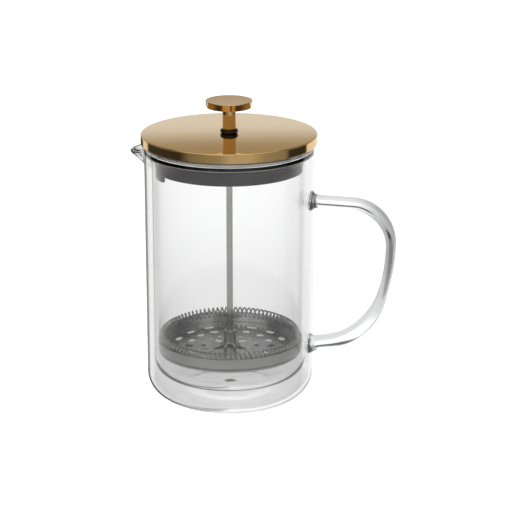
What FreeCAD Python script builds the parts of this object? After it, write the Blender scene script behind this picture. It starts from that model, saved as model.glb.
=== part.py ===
import FreeCAD, Part
import math
import os
import Sketcher
from FreeCAD import Placement, Rotation, Vector

# A double-walled glass french press with its plunger pressed down.
# Frame: millimetres, +Z up, origin at the centre of the base where it meets the table.
# The handle points to +X and the pouring spout to -X.

SIZES = {
    # glass: two blown walls joined near the rim
    "jacket_radius": 52.5,
    "jacket_wall": 2.0,
    "jacket_corner": 14.8,
    "base_wall": 2.2,
    "punt_radius": 24.0,
    "foot_inner": 30.0,
    "punt_depth": 1.5,
    "air_gap": 2.7,
    "beaker_wall": 1.8,
    "beaker_corner": 8.0,
    "floor_height": 17.0,
    "floor_wall": 2.4,
    "rim_height": 162.3,
    "rim_wall": 2.6,
    "rim_round": 1.1,
    "weld_drop": 13.9,
    "flare_drop": 10.3,
    "flare_run": 12.0,
    "vent_radius": 2.0,
    "plug_head_radius": 4.0,
    "plug_head_thick": 0.9,
    "plug_lip": 0.8,
    # pouring spout
    "spout_length": 11.7,
    "spout_wall": 2.2,
    "channel_half_width": 9.8,
    "channel_drop": 11.9,
    "channel_tip_rise": 0.4,
    "channel_inset": 6.0,
    "tip_half_width": 4.2,
    "lip_drop": 6.8,
    "lip_setback": 1.8,
    "lip_hook": 5.0,
    # handle: a drawn glass strap of oval section
    "handle_drop": 32.9,
    "handle_reach": 49.9,
    "handle_bend": 24.0,
    "grip_bend": 115.0,
    "grip_turn": 19.0,
    "heel_bend": 45.2,
    "heel_turn": 59.5,
    "strap_top_thick": 8.0,
    "strap_top_width": 11.0,
    "strap_grip_thick": 5.8,
    "strap_grip_width": 12.0,
    "strap_heel_thick": 9.4,
    "strap_heel_width": 14.0,
    "weld_foot_thick": 12.0,
    "weld_foot_width": 14.6,
    "weld_foot_length": 3.5,
    # lid
    "lid_overhang": 1.9,
    "lid_gap": 0.8,
    "lid_height": 5.9,
    "lid_sheet": 1.2,
    "lid_edge_round": 0.7,
    "seat_gap": 0.3,
    "seat_width": 2.5,
    "insert_fit": 0.1,
    "insert_gap": 0.5,
    "insert_wall": 2.0,
    "insert_depth": 15.25,
    "strainer_extra": 3.65,
    "strainer_turn": 90.0,
    "slot_width": 1.8,
    "slot_height": 12.6,
    "boss_wall": 3.75,
    "boss_depth": 7.8,
    # guide bush through the lid
    "running_gap": 0.05,
    "bush_wall": 2.15,
    "bead_lip": 1.4,
    "bead_height": 2.7,
    "bush_nut_wall": 1.8,
    "bush_nut_height": 2.5,
    "face_gap": 0.1,
    # plunger
    "rod_radius": 2.0,
    "knob_radius": 14.6,
    "knob_taper": 0.9,
    "knob_height": 4.3,
    "neck_wall": 2.15,
    "neck_height": 13.3,
    "knob_round": 0.35,
    "thread_depth": 11.1,
    "hub_wall": 2.0,
    "hub_height": 9.75,
    # filter discs
    "filter_gap": 0.6,
    "filter_height": 13.4,
    "plate_sheet": 0.6,
    "plate_wall_height": 6.9,
    "plate_lip": 3.2,
    "disc_bore_gap": 0.3,
    "coil_radius": 2.0,
    "mesh_sheet": 0.4,
    "mesh_corner": 1.0,
    "stack_gap": 0.05,
    "inner_hole_ring": 17.0,
    "inner_hole_radius": 1.3,
    "oval_ring": 26.0,
    "oval_radius": 1.8,
    "oval_run": 0.6,
    "slot_ring": 35.0,
    "slot_ring_radius": 1.6,
    "slot_ring_run": 1.9,
    "petal_inner": 7.4,
    "petal_outer": 12.2,
    "petal_radius": 2.1,
    "wall_hole_radius": 0.75,
    "wall_hole_height": 4.3,
    # cross plate that clamps the mesh from below
    "cross_sheet": 1.1,
    "cross_inset": 1.0,
    "cross_rim": 3.2,
    "cross_arm": 9.0,
    "cross_centre": 9.5,
    "stud_wall": 1.45,
    "stud_flange_lip": 2.5,
    "stud_flange_height": 1.2,
    "stud_reach": 3.6,
    "rod_end_gap": 0.4,
}

RING_HOLES = 15
WALL_HOLES = 90
STRAINER_SLOTS = 12
SLOT_SWEEP = 66.0
PETALS = 4
RING_PHASE = 9.0
PETAL_PHASE = 60.0
ARM_PHASE = 15.0
OVERCUT = 1.0

# Sections of the spout from root to tip: share of the way out, half width as shares of the
# channel's half width and of the tip's, and glass below the channel in spout walls.
SPOUT_SECTIONS = [
    (0.0, 1.0, 0.0, 0.65),
    (0.5, 0.55, 0.45, 1.0),
    (0.84, 0.0, 1.15, 0.85),
    (1.0, 0.0, 0.5, 0.3),
]
CHANNEL_TIP_SHARE = 0.7
BEAD_ROUND_SHARE = 0.42

# Stations along the handle's two straight runs, and where its sections change, as shares.
UPPER_SHARES = (0.0, 0.07, 0.15, 0.4, 0.7, 1.0)
LOWER_SHARES = (0.35, 0.62, 0.8, 1.0)
TOP_END = 0.2
GRIP_START = 0.45
GRIP_END = 0.55
HEEL_START = 0.78

doc = FreeCAD.newDocument("french_press")
nodes = []


class Size:
    """A size that carries its spreadsheet expression beside its present value."""

    def __init__(self, text, value):
        self.text = text
        self.value = value

    def join(self, sign, other, value):
        return Size(f"({self.text} {sign} {as_size(other).text})", value)

    def __add__(self, other):
        return self.join("+", other, self.value + as_size(other).value)

    def __sub__(self, other):
        return self.join("-", other, self.value - as_size(other).value)

    def __mul__(self, other):
        return self.join("*", other, self.value * as_size(other).value)

    def __truediv__(self, other):
        return self.join("/", other, self.value / as_size(other).value)

    def __neg__(self):
        return self * -1.0


def as_size(number):
    """Let a plain number stand in a sum of sizes."""
    if isinstance(number, Size):
        return number
    return Size(f"({float(number):.6f})", float(number))


def make_sheet():
    """Write the driving sizes into the sheet, one named cell each."""
    sheet = doc.addObject("Spreadsheet::Sheet", "Sizes")
    for row, (alias, number) in enumerate(SIZES.items(), start=1):
        sheet.set(f"A{row}", alias)
        sheet.set(f"B{row}", str(number))
        sheet.setAlias(f"B{row}", alias)
    doc.recompute()
    return sheet


sheet = make_sheet()


def size(alias):
    """Read one driving size from the sheet."""
    return Size(f"Sizes.{alias}", float(sheet.get(alias)))


ZERO = as_size(0.0)


def keep(obj, label):
    """Give a finished sub-part its name and list it for export."""
    obj.Label = label
    nodes.append(obj)
    return obj


def new_body(label):
    """Start a sub-part that is built from sketches."""
    return keep(doc.addObject("PartDesign::Body", label), label)


def origin_item(body, role):
    """Find one of the body's origin planes or axes."""
    return [item for item in body.Origin.OriginFeatures if item.Role == role][0]


def new_sketch(body, name, plane, turn=0.0, away=ZERO):
    """Lay an empty sketch on an origin plane turned about Z, and moved away along its normal."""
    sketch = body.newObject("Sketcher::SketchObject", name)
    sketch.AttachmentSupport = (origin_item(body, plane), [""])
    sketch.MapMode = "FlatFace"
    upright = Vector(0, 0, 1) if plane == "XY_Plane" else Vector(0, 1, 0)
    sketch.AttachmentOffset = Placement(Vector(), Rotation(upright, turn))
    if away is not ZERO:
        slant = math.radians(turn)
        sketch.setExpression("AttachmentOffset.Base.x", (away * math.sin(slant)).text)
        sketch.setExpression("AttachmentOffset.Base.z", (away * math.cos(slant)).text)
    return sketch


def bind(sketch, constraint, name, amount):
    """Add a dimension and tie it to the sheet."""
    index = sketch.addConstraint(constraint)
    sketch.renameConstraint(index, name)
    sketch.setExpression(f"Constraints.{name}", amount.text)


def pin_point(sketch, shape, end, x, y):
    """Hold one point of a sketch at x, y from the origin."""
    for axis, amount, line in (("X", x, -2), ("Y", y, -1)):
        if amount is ZERO:
            sketch.addConstraint(Sketcher.Constraint("PointOnObject", shape, end, line))
        else:
            rule = Sketcher.Constraint(f"Distance{axis}", -1, 1, shape, end, amount.value)
            bind(sketch, rule, f"{axis.lower()}_{shape}_{end}", amount)


def polygon(body, name, plane, points, turn=0.0, away=ZERO):
    """Draw a closed outline through points, each a pair of sizes."""
    sketch = new_sketch(body, name, plane, turn, away)
    corners = [Vector(x.value, y.value, 0) for x, y in points]
    total = len(corners)
    for index, corner in enumerate(corners):
        following = corners[(index + 1) % total]
        sketch.addGeometry(Part.LineSegment(corner, following), False)
    for index in range(total):
        following = (index + 1) % total
        sketch.addConstraint(Sketcher.Constraint("Coincident", index, 2, following, 1))
    for index, (x, y) in enumerate(points):
        pin_point(sketch, index, 1, x, y)
    return sketch


def circle(body, name, plane, x, y, radius, turn=0.0, away=ZERO):
    """Draw one circle."""
    sketch = new_sketch(body, name, plane, turn, away)
    ring = Part.Circle(Vector(x.value, y.value, 0), Vector(0, 0, 1), radius.value)
    sketch.addGeometry(ring, False)
    pin_point(sketch, 0, 3, x, y)
    bind(sketch, Sketcher.Constraint("Radius", 0, radius.value), "radius", radius)
    return sketch


def oblong(body, name, plane, start, end, radius, turn=0.0):
    """Draw a slot with round ends centred on two points."""
    sketch = new_sketch(body, name, plane, turn)
    first = Vector(start[0].value, start[1].value, 0)
    last = Vector(end[0].value, end[1].value, 0)
    lead = math.atan2(last.y - first.y, last.x - first.x)
    side = Vector(-math.sin(lead), math.cos(lead), 0) * radius.value
    normal = Vector(0, 0, 1)
    quarter = math.pi / 2
    near = Part.Circle(first, normal, radius.value)
    far = Part.Circle(last, normal, radius.value)
    sketch.addGeometry(Part.ArcOfCircle(near, lead + quarter, lead + 3 * quarter), False)
    sketch.addGeometry(Part.LineSegment(first - side, last - side), False)
    sketch.addGeometry(Part.ArcOfCircle(far, lead - quarter, lead + quarter), False)
    sketch.addGeometry(Part.LineSegment(last + side, first + side), False)
    for one, two in ((0, 1), (1, 2), (2, 3), (3, 0)):
        sketch.addConstraint(Sketcher.Constraint("Tangent", one, 2, two, 1))
    pin_point(sketch, 0, 3, *start)
    pin_point(sketch, 2, 3, *end)
    bind(sketch, Sketcher.Constraint("Radius", 0, radius.value), "radius", radius)
    return sketch


def revolve(body, name, points, turn=None):
    """Spin an outline in the XZ plane about Z, all the way or through a bound angle."""
    sketch = polygon(body, f"{name}_outline", "XZ_Plane", points)
    spun = body.newObject("PartDesign::Revolution", name)
    spun.Profile = sketch
    spun.ReferenceAxis = (sketch, ["V_Axis"])
    spun.Angle = 360.0
    if turn is not None:
        spun.setExpression("Angle", turn.text)
        spun.Midplane = True
    doc.recompute()
    return spun


def round_rims(body, name, radius, spots):
    """Round the body's circular edges that lie at the given radius and height."""
    base = body.Tip
    picked = []
    for index, edge in enumerate(base.Shape.Edges, start=1):
        if not isinstance(edge.Curve, Part.Circle):
            continue
        for ring, height in spots:
            off_ring = abs(edge.Curve.Radius - ring.value)
            off_height = abs(edge.Curve.Center.z - height.value)
            if max(off_ring, off_height) < 1e-4:
                picked.append(f"Edge{index}")
    if len(picked) < len(spots):
        raise RuntimeError(f"{name} finds {len(picked)} of {len(spots)} edges")
    fillet = body.newObject("PartDesign::Fillet", name)
    fillet.Base = (base, picked)
    fillet.Radius = radius.value
    fillet.setExpression("Radius", radius.text)
    doc.recompute()


def pocket(body, name, sketch, length=None):
    """Cut a sketch away: through everything both ways, or one way for a length."""
    before = body.Shape.Volume
    cut = body.newObject("PartDesign::Pocket", name)
    cut.Profile = sketch
    if length is None:
        cut.Type = "ThroughAll"
        cut.SideType = "Symmetric"
    else:
        cut.Type = "Length"
        cut.Length = length.value
        cut.setExpression("Length", length.text)
    doc.recompute()
    if body.Shape.Volume > before - 1e-3:
        raise RuntimeError(f"{name} cuts nothing")
    return cut


def ring_pattern(body, name, feature, count, sweep=360.0):
    """Repeat a feature about Z."""
    before = body.Shape.Volume
    pattern = body.newObject("PartDesign::PolarPattern", name)
    pattern.Originals = [feature]
    pattern.Axis = (origin_item(body, "Z_Axis"), [""])
    pattern.Angle = sweep
    pattern.Occurrences = count
    body.Tip = pattern
    doc.recompute()
    if body.Shape.Volume > before - 1e-3:
        raise RuntimeError(f"{name} repeats nothing")
    return pattern


def loft(body, name, kind, sketches):
    """Join sections, each a sketch, into one added or cut solid."""
    joined = body.newObject(f"PartDesign::{kind}", name)
    joined.Profile = sketches[0]
    joined.Sections = sketches[1:]
    joined.Ruled = False
    doc.recompute()
    return joined


def trough(body, name, x, half_width, bottom, top):
    """Draw a U-shaped section across the spout at the distance x from the axis."""
    sketch = new_sketch(body, name, "YZ_Plane", away=x)
    centre = bottom + half_width
    middle = Vector(0, centre.value, 0)
    round_part = Part.Circle(middle, Vector(0, 0, 1), half_width.value)
    left = Vector(-half_width.value, centre.value, 0)
    right = Vector(half_width.value, centre.value, 0)
    top_left = Vector(-half_width.value, top.value, 0)
    top_right = Vector(half_width.value, top.value, 0)
    sketch.addGeometry(Part.ArcOfCircle(round_part, math.pi, 2 * math.pi), False)
    sketch.addGeometry(Part.LineSegment(right, top_right), False)
    sketch.addGeometry(Part.LineSegment(top_right, top_left), False)
    sketch.addGeometry(Part.LineSegment(top_left, left), False)
    for one, two in ((0, 1), (1, 2), (2, 3), (3, 0)):
        sketch.addConstraint(Sketcher.Constraint("Coincident", one, 2, two, 1))
    pin_point(sketch, 0, 3, ZERO, centre)
    pin_point(sketch, 0, 1, -half_width, centre)
    pin_point(sketch, 1, 2, half_width, top)
    pin_point(sketch, 2, 2, -half_width, top)
    level = Sketcher.Constraint("DistanceY", -1, 1, 0, 2, centre.value)
    bind(sketch, level, "right_spring_line", centre)
    return sketch


def primitive(kind, name, height=ZERO, **sizes):
    """Make a Part primitive whose sizes and height above the table are bound to the sheet."""
    solid = doc.addObject(f"Part::{kind}", name)
    for field, amount in sizes.items():
        solid.setExpression(field, amount.text)
    solid.setExpression("Placement.Base.z", height.text)
    return solid


def cut(label, base, tool):
    """Take one solid from another."""
    made = doc.addObject("Part::Cut", label)
    made.Base = base
    made.Tool = tool
    return made


# Sizes that follow from the driving ones.
jacket_radius = size("jacket_radius")
jacket_inside = jacket_radius - size("jacket_wall")
beaker_outside = jacket_inside - size("air_gap")
beaker_inside = beaker_outside - size("beaker_wall")
rim_height = size("rim_height")
rim_inside = jacket_radius - size("rim_wall")
weld_height = rim_height - size("weld_drop")
flare_end = rim_height - size("flare_drop")
flare_start = flare_end - size("flare_run")
floor_height = size("floor_height")

lid_bottom = rim_height + size("lid_gap")
lid_top = lid_bottom + size("lid_height")
lid_inside_top = lid_top - size("lid_sheet")
lid_radius = jacket_radius + size("lid_overhang")
insert_seat = rim_height + size("seat_gap")
insert_radius = lid_radius - size("lid_sheet") - size("insert_fit")
plate_bottom = lid_inside_top - size("insert_wall")
skirt_radius = beaker_inside - size("insert_gap")
skirt_inside = skirt_radius - size("insert_wall")
skirt_bottom = insert_seat - size("insert_depth")
strainer_bottom = skirt_bottom - size("strainer_extra")
boss_bottom = lid_inside_top - size("boss_depth")

rod_radius = size("rod_radius")
bush_bore = rod_radius + size("running_gap")
stem_radius = bush_bore + size("bush_wall")
bead_radius = stem_radius + size("bead_lip")
lid_bore = stem_radius + size("running_gap")
boss_radius = lid_bore + size("boss_wall")
bead_bottom = lid_top + size("face_gap")
bead_top = bead_bottom + size("bead_height")
bush_bottom = boss_bottom - size("face_gap") - size("bush_nut_height")
neck_bottom = bead_top + size("face_gap")
knob_bottom = neck_bottom + size("neck_height")
knob_top = knob_bottom + size("knob_height")
rod_top = neck_bottom + size("thread_depth")

plate_floor = floor_height + size("filter_height")
plate_radius = beaker_inside - size("filter_gap") - size("mesh_sheet") - size("stack_gap")
plate_top = plate_floor + size("plate_wall_height")
mesh_radius = beaker_inside - size("filter_gap")
mesh_top = plate_floor - size("stack_gap")
cross_top = mesh_top - size("mesh_sheet") - size("face_gap")
cross_bottom = cross_top - size("cross_sheet")
cross_radius = mesh_radius - size("cross_inset")
hub_bottom = plate_floor + size("plate_sheet") + size("stack_gap")
disc_bore = rod_radius + size("disc_bore_gap")
stud_bottom = cross_bottom - size("stud_flange_height") - size("stud_reach")
stud_radius = bush_bore + size("stud_wall")
rod_bottom = stud_bottom + size("rod_end_gap")


def make_jacket():
    """Outer glass wall, with a shallow punt and a filling hole in its base."""
    body = new_body("outer_jacket")
    punt = size("punt_depth")
    base = size("base_wall")
    vent = size("vent_radius")
    corner = size("jacket_corner")
    revolve(body, "jacket_wall_turn", [
        (vent, punt),
        (size("punt_radius"), punt),
        (size("foot_inner"), ZERO),
        (jacket_radius, ZERO),
        (jacket_radius, weld_height),
        (jacket_inside, weld_height),
        (jacket_inside, base),
        (size("foot_inner"), base),
        (size("punt_radius"), base + punt),
        (vent, base + punt),
    ])
    round_rims(body, "outer_corner", corner, [(jacket_radius, ZERO)])
    round_rims(body, "inner_corner", corner - size("jacket_wall"), [(jacket_inside, base)])


def make_vent_plug():
    """Soft plug that seals the filling hole, kept inside the punt."""
    body = new_body("vent_plug")
    punt = size("punt_depth")
    inside = punt + size("base_wall")
    vent = size("vent_radius")
    head = size("plug_head_radius")
    lip = size("plug_lip")
    revolve(body, "plug_turn", [
        (ZERO, punt - size("plug_head_thick")),
        (head, punt - size("plug_head_thick")),
        (head, punt),
        (vent, punt),
        (vent, inside),
        (vent + lip, inside),
        (vent, inside + lip * 2.0),
        (ZERO, inside + lip * 2.0),
    ])


def make_beaker():
    """Inner glass wall, flared out to the rim, with the pouring spout drawn from the rim."""
    body = new_body("inner_beaker")
    floor_bottom = floor_height - size("floor_wall")
    corner = size("beaker_corner")
    cone_start = flare_start - size("beaker_wall")
    revolve(body, "beaker_wall_turn", [
        (ZERO, floor_bottom),
        (beaker_outside, floor_bottom),
        (beaker_outside, cone_start),
        (jacket_inside, weld_height),
        (jacket_radius, weld_height),
        (jacket_radius, rim_height),
        (rim_inside, rim_height),
        (rim_inside, flare_end),
        (beaker_inside, flare_start),
        (beaker_inside, floor_height),
        (ZERO, floor_height),
    ])
    round_rims(body, "floor_inner_corner", corner, [(beaker_inside, floor_height)])
    round_rims(body, "floor_outer_corner", corner + size("beaker_wall"),
               [(beaker_outside, floor_bottom)])
    add_spout(body)


def add_spout(body):
    """Draw the spout out of the rim, cut its channel and slope its lips down to the tip."""
    wall = size("spout_wall")
    channel_bottom = rim_height - size("channel_drop")
    root_half = size("channel_half_width")
    tip_half = size("tip_half_width")
    tip = jacket_radius + size("spout_length")
    root = jacket_inside
    shell_top = rim_height - size("rim_round")
    clear_top = rim_height + OVERCUT
    halves = [root_half * share + tip_half * tip_share
              for _, share, tip_share, _ in SPOUT_SECTIONS]
    places = [root + (tip - root) * along for along, *_ in SPOUT_SECTIONS]
    shell = [
        trough(body, f"spout_shell_{index}", -places[index], halves[index] + wall,
               channel_bottom - wall * section[-1], shell_top)
        for index, section in enumerate(SPOUT_SECTIONS)
    ]
    loft(body, "spout_shell", "AdditiveLoft", shell)
    channel_start = size("channel_inset") - rim_inside
    channel = [
        trough(body, "channel_root", channel_start, root_half, channel_bottom, clear_top),
        trough(body, "channel_middle", -places[1], halves[1], channel_bottom, clear_top),
        trough(body, "channel_tip", -(tip + OVERCUT), tip_half * CHANNEL_TIP_SHARE,
               channel_bottom + size("channel_tip_rise"), clear_top),
    ]
    loft(body, "spout_channel", "SubtractiveLoft", channel)
    lip_start = size("rim_round") - jacket_radius
    lip_end = rim_height - size("lip_drop")
    beyond = -(tip + OVERCUT)
    slope = polygon(body, "lip_slope_outline", "XZ_Plane", [
        (lip_start, rim_height),
        (size("lip_setback") - tip, lip_end),
        (beyond, lip_end - size("lip_hook")),
        (beyond, clear_top),
        (lip_start, clear_top),
    ])
    pocket(body, "lip_slope", slope)


def handle_path():
    """Stations along the handle's centre line, each a length, a place and a heading."""
    reach = (jacket_radius + size("handle_reach")).value
    top = (rim_height - size("handle_drop")).value
    start = (jacket_radius - OVERCUT).value
    bend = size("handle_bend").value
    grip = size("grip_bend").value
    heel = size("heel_bend").value
    grip_turn = math.radians(size("grip_turn").value)
    heel_turn = math.radians(size("heel_turn").value)
    stations = []

    def arc(length, centre, radius, first, last, steps):
        for step in range(1, steps + 1):
            angle = first + (last - first) * step / steps
            place = Vector(centre[0] + radius * math.cos(angle), 0,
                           centre[1] + radius * math.sin(angle))
            heading = Vector(math.sin(angle), 0, -math.cos(angle))
            stations.append((length + radius * (first - angle), place, heading))

    run = reach - bend - start
    for share in UPPER_SHARES:
        stations.append((run * share, Vector(start + run * share, 0, top), Vector(1, 0, 0)))
    arc(run, (reach - bend, top - bend), bend, math.pi / 2, 0.0, 5)
    length = run + bend * math.pi / 2
    arc(length, (reach - grip, top - bend), grip, 0.0, -grip_turn, 3)
    length += grip * grip_turn
    heel_centre = (reach - grip + (grip - heel) * math.cos(grip_turn),
                   top - bend - (grip - heel) * math.sin(grip_turn))
    arc(length, heel_centre, heel, -grip_turn, -grip_turn - heel_turn, 5)
    length += heel * heel_turn
    place, heading = stations[-1][1:]
    run = (start - place.x) / heading.x
    for share in LOWER_SHARES:
        stations.append((length + run * share, place + heading * (run * share), heading))
    return stations


def strap_section(length, total):
    """Oval section of the strap: wide at its welds, thin at the grip, heavy at the heel."""
    foot = (size("weld_foot_thick"), size("weld_foot_width"))
    top = (size("strap_top_thick"), size("strap_top_width"))
    grip = (size("strap_grip_thick"), size("strap_grip_width"))
    heel = (size("strap_heel_thick"), size("strap_heel_width"))
    foot_end = OVERCUT + size("weld_foot_length").value
    marks = [
        (0.0, foot),
        (foot_end, top),
        (TOP_END * total, top),
        (GRIP_START * total, grip),
        (GRIP_END * total, grip),
        (HEEL_START * total, heel),
        (total - foot_end, heel),
        (total, foot),
    ]
    for (start, first), (end, last) in zip(marks, marks[1:]):
        if length <= end + 1e-6:
            share = (length - start) / (end - start)
            share = share * share * (3.0 - 2.0 * share)
            return [one + (two - one) * share for one, two in zip(first, last)]
    return foot


def make_handle():
    """Glass strap lofted through oval sections and cut to the curve of the jacket."""
    stations = handle_path()
    total = stations[-1][0]
    ovals = []
    for index, (length, place, heading) in enumerate(stations):
        thick, width = strap_section(length, total)
        oval = doc.addObject("Part::Ellipse", f"strap_oval_{index}")
        oval.setExpression("MajorRadius", (width / 2.0).text)
        oval.setExpression("MinorRadius", (thick / 2.0).text)
        across = Vector(0, 1, 0)
        oval.Placement = Placement(place, Rotation(across, heading.cross(across), heading, "ZXY"))
        ovals.append(oval)
    doc.recompute()
    strap = doc.addObject("Part::Loft", "strap")
    strap.Sections = ovals
    strap.Solid = True
    wall = primitive("Cylinder", "jacket_clear", Radius=jacket_radius, Height=rim_height)
    keep(cut("glass_handle", strap, wall), "glass_handle")


def make_lid_cap():
    """Polished metal cap over the rim."""
    body = new_body("lid_cap")
    inside = lid_radius - size("lid_sheet")
    revolve(body, "cap_turn", [
        (lid_bore, lid_inside_top),
        (inside, lid_inside_top),
        (inside, lid_bottom),
        (lid_radius, lid_bottom),
        (lid_radius, lid_top),
        (lid_bore, lid_top),
    ])
    round_rims(body, "cap_edge", size("lid_edge_round"), [(lid_radius, lid_top)])


def make_lid_insert():
    """Moulded insert: it seats on the rim, centres the lid and strains at the spout."""
    body = new_body("lid_insert")
    seat_inside = insert_radius - size("seat_width")
    revolve(body, "insert_turn", [
        (lid_bore, lid_inside_top),
        (insert_radius, lid_inside_top),
        (insert_radius, insert_seat),
        (seat_inside, insert_seat),
        (seat_inside, plate_bottom),
        (skirt_radius, plate_bottom),
        (skirt_radius, skirt_bottom),
        (skirt_inside, skirt_bottom),
        (skirt_inside, plate_bottom),
        (boss_radius, plate_bottom),
        (boss_radius, boss_bottom),
        (lid_bore, boss_bottom),
    ])
    revolve(body, "strainer_turn", [
        (-skirt_radius, strainer_bottom),
        (-skirt_inside, strainer_bottom),
        (-skirt_inside, skirt_bottom + OVERCUT),
        (-skirt_radius, skirt_bottom + OVERCUT),
    ], turn=size("strainer_turn"))
    half = size("slot_width") / 2.0
    slot_bottom = strainer_bottom + size("insert_wall")
    slot_end = slot_bottom + size("slot_height")
    outline = polygon(body, "slot_outline", "YZ_Plane", [
        (-half, slot_bottom), (half, slot_bottom), (half, slot_end), (-half, slot_end),
    ], turn=-SLOT_SWEEP / 2.0, away=-(skirt_inside - OVERCUT))
    slot = pocket(body, "strainer_slot", outline, size("insert_wall") + 2.0 * OVERCUT)
    ring_pattern(body, "strainer_slots", slot, STRAINER_SLOTS, SLOT_SWEEP)


def make_bush():
    """Turned bush with a round bead on the lid and a bore that guides the rod."""
    body = new_body("guide_bush")
    revolve(body, "bush_turn", [
        (bush_bore, bush_bottom),
        (stem_radius, bush_bottom),
        (stem_radius, bead_bottom),
        (bead_radius, bead_bottom),
        (bead_radius, bead_top),
        (bush_bore, bead_top),
    ])
    round_rims(body, "bead_round", size("bead_height") * BEAD_ROUND_SHARE,
               [(bead_radius, bead_bottom), (bead_radius, bead_top)])


def make_bush_nut():
    """Hexagon nut that holds the bush under the insert's boss."""
    half_flats = stem_radius + size("bush_nut_wall")
    height = size("bush_nut_height")
    hexagon = primitive("Prism", "nut_hexagon", bush_bottom,
                        Circumradius=half_flats / math.cos(math.pi / 6.0), Height=height)
    bore = primitive("Cylinder", "nut_bore", bush_bottom - OVERCUT,
                     Radius=stem_radius, Height=height + 2.0 * OVERCUT)
    keep(cut("bush_nut", hexagon, bore), "bush_nut")


def make_knob():
    """Turned knob: a flat disc on a neck, threaded on the rod."""
    body = new_body("knob")
    disc = size("knob_radius")
    neck = rod_radius + size("neck_wall")
    revolve(body, "knob_turn", [
        (rod_radius, neck_bottom),
        (neck, neck_bottom),
        (neck, knob_bottom),
        (disc - size("knob_taper"), knob_bottom),
        (disc, knob_top),
        (ZERO, knob_top),
        (ZERO, rod_top),
        (rod_radius, rod_top),
    ])
    round_rims(body, "knob_edge", size("knob_round"), [(disc, knob_top)])


def make_rod():
    """Plunger rod."""
    rod = primitive("Cylinder", "plunger_rod", rod_bottom,
                    Radius=rod_radius, Height=rod_top - rod_bottom)
    keep(rod, "plunger_rod")


def make_hub():
    """Collar fixed on the rod, which the filter discs are clamped against."""
    body = new_body("rod_hub")
    hub = rod_radius + size("hub_wall")
    hub_top = hub_bottom + size("hub_height")
    revolve(body, "hub_turn", [
        (rod_radius, hub_bottom),
        (hub, hub_bottom),
        (hub, hub_top),
        (rod_radius, hub_top),
    ])


def make_spiral_plate():
    """Dished steel plate with rings of holes and a lip that carries the edge spring."""
    body = new_body("spiral_plate")
    sheet_thick = size("plate_sheet")
    floor_top = plate_floor + sheet_thick
    inside = plate_radius - sheet_thick
    lip_inside = plate_radius - size("plate_lip")
    revolve(body, "plate_turn", [
        (disc_bore, plate_floor),
        (plate_radius, plate_floor),
        (plate_radius, plate_top),
        (lip_inside, plate_top),
        (lip_inside, plate_top - sheet_thick),
        (inside, plate_top - sheet_thick),
        (inside, floor_top),
        (disc_bore, floor_top),
    ])
    inner = circle(body, "inner_hole_outline", "XY_Plane", size("inner_hole_ring"), ZERO,
                   size("inner_hole_radius"), RING_PHASE)
    ring_pattern(body, "inner_holes", pocket(body, "inner_hole", inner), RING_HOLES)
    run = size("oval_run")
    oval = oblong(body, "oval_outline", "XY_Plane", (size("oval_ring"), -run),
                  (size("oval_ring"), run), size("oval_radius"), RING_PHASE)
    ring_pattern(body, "oval_holes", pocket(body, "oval_hole", oval), RING_HOLES)
    run = size("slot_ring_run")
    slot = oblong(body, "rim_slot_outline", "XY_Plane", (size("slot_ring"), -run),
                  (size("slot_ring"), run), size("slot_ring_radius"), RING_PHASE)
    ring_pattern(body, "rim_slots", pocket(body, "rim_slot", slot), RING_HOLES)
    petal = oblong(body, "petal_outline", "XY_Plane", (size("petal_inner"), ZERO),
                   (size("petal_outer"), ZERO), size("petal_radius"), PETAL_PHASE)
    ring_pattern(body, "petals", pocket(body, "petal", petal), PETALS)
    hole = circle(body, "wall_hole_outline", "YZ_Plane", ZERO,
                  plate_floor + size("wall_hole_height"), size("wall_hole_radius"),
                  away=-(inside - OVERCUT))
    first = pocket(body, "wall_hole", hole, sheet_thick + 2.0 * OVERCUT)
    ring_pattern(body, "wall_holes", first, WALL_HOLES)


def make_edge_spring():
    """Envelope of the coil spring that lies on the plate's lip."""
    coil = size("coil_radius")
    ring = primitive("Torus", "edge_spring", plate_top + size("stack_gap") + coil,
                     Radius1=plate_radius - coil + size("mesh_sheet"), Radius2=coil)
    keep(ring, "edge_spring")


def make_mesh():
    """Fine woven screen, cupped round the outside of the plate."""
    body = new_body("mesh_screen")
    thick = size("mesh_sheet")
    bottom = mesh_top - thick
    inside = mesh_radius - thick
    corner = size("mesh_corner")
    revolve(body, "mesh_turn", [
        (disc_bore, bottom),
        (mesh_radius, bottom),
        (mesh_radius, plate_top),
        (inside, plate_top),
        (inside, mesh_top),
        (disc_bore, mesh_top),
    ])
    round_rims(body, "mesh_corner_round", corner - thick, [(mesh_radius, bottom)])


def make_cross_plate():
    """Four-armed plate that clamps the mesh from below."""
    height = size("cross_sheet")
    reach = cross_radius - size("cross_rim") / 2.0
    arm = size("cross_arm")
    disc = primitive("Cylinder", "cross_disc", cross_bottom, Radius=cross_radius, Height=height)
    window = primitive("Cylinder", "cross_window", cross_bottom - OVERCUT,
                       Radius=cross_radius - size("cross_rim"), Height=height + 2.0 * OVERCUT)
    centre = primitive("Cylinder", "cross_centre_disc", cross_bottom,
                       Radius=size("cross_centre"), Height=height)
    parts = [cut("cross_ring", disc, window), centre]
    for name, length, width in (("long", reach * 2.0, arm), ("wide", arm, reach * 2.0)):
        bar = primitive("Box", f"cross_arm_{name}", cross_bottom,
                        Length=length, Width=width, Height=height)
        bar.setExpression("Placement.Base.x", (length / -2.0).text)
        bar.setExpression("Placement.Base.y", (width / -2.0).text)
        parts.append(bar)
    joined = doc.addObject("Part::MultiFuse", "cross_joined")
    joined.Shapes = parts
    joined.Refine = True
    bore = primitive("Cylinder", "cross_bore", cross_bottom - OVERCUT,
                     Radius=stud_radius, Height=height + 2.0 * OVERCUT)
    plate = keep(cut("cross_plate", joined, bore), "cross_plate")
    plate.Placement = Placement(Vector(), Rotation(Vector(0, 0, 1), ARM_PHASE))


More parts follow.
